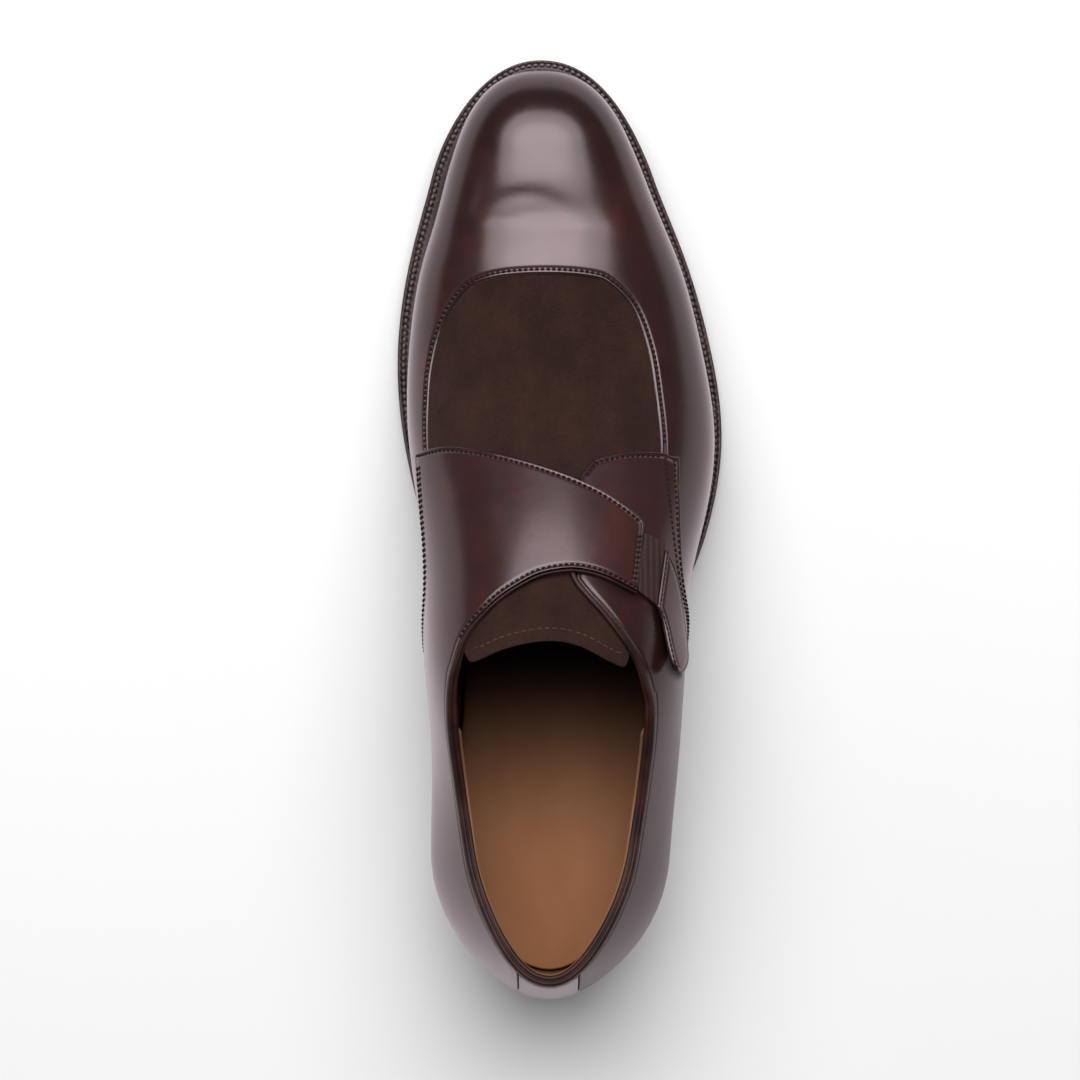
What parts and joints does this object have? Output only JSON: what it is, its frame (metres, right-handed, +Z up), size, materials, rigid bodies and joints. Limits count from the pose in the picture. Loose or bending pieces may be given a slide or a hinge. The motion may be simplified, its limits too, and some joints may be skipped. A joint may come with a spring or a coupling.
{
  "type": "monk strap shoe",
  "caption": "Right leather monk strap shoe with suede plug and tongue, crossing strap, stitched welt, leather sole and stacked heel, open at the collar.",
  "frame": {"origin": "middle of the shoe's footprint, on the floor that it stands on", "axes": "+Y runs from the heel to the toe, +X to the outer side of the right foot, +Z up"},
  "size_m": [0.1076, 0.3056, 0.0979],
  "materials": {
    "sole_leather": "dyed and burnished sole leather",
    "stacked_leather": "stacked leather, dyed dark and waxed",
    "lift_rubber": "matte black rubber",
    "welt_leather": "dark welt leather with light thread",
    "insole_leather": "smooth tan lining leather",
    "upper_leather": "polished dark brown calf with reddish patina",
    "quarter_leather": "polished dark brown calf with reddish patina",
    "binding_leather": "dark rolled edge binding",
    "suede": "matte dark brown suede with a short nap",
    "strip_elastic": "plain dark brown elastic strip"
  },
  "bodies": {
    "root": {"outsole": "sole_leather", "heel_stack": "stacked_leather", "top_lift": "lift_rubber", "welt": "welt_leather", "insole": "insole_leather", "upper": "upper_leather", "tongue": "suede", "medial_quarter": "quarter_leather", "lateral_quarter": "quarter_leather", "back_strip": "quarter_leather", "collar_binding": "binding_leather", "strap_strip": "strip_elastic", "strap_tab": "quarter_leather"}
  },
  "joints": []
}
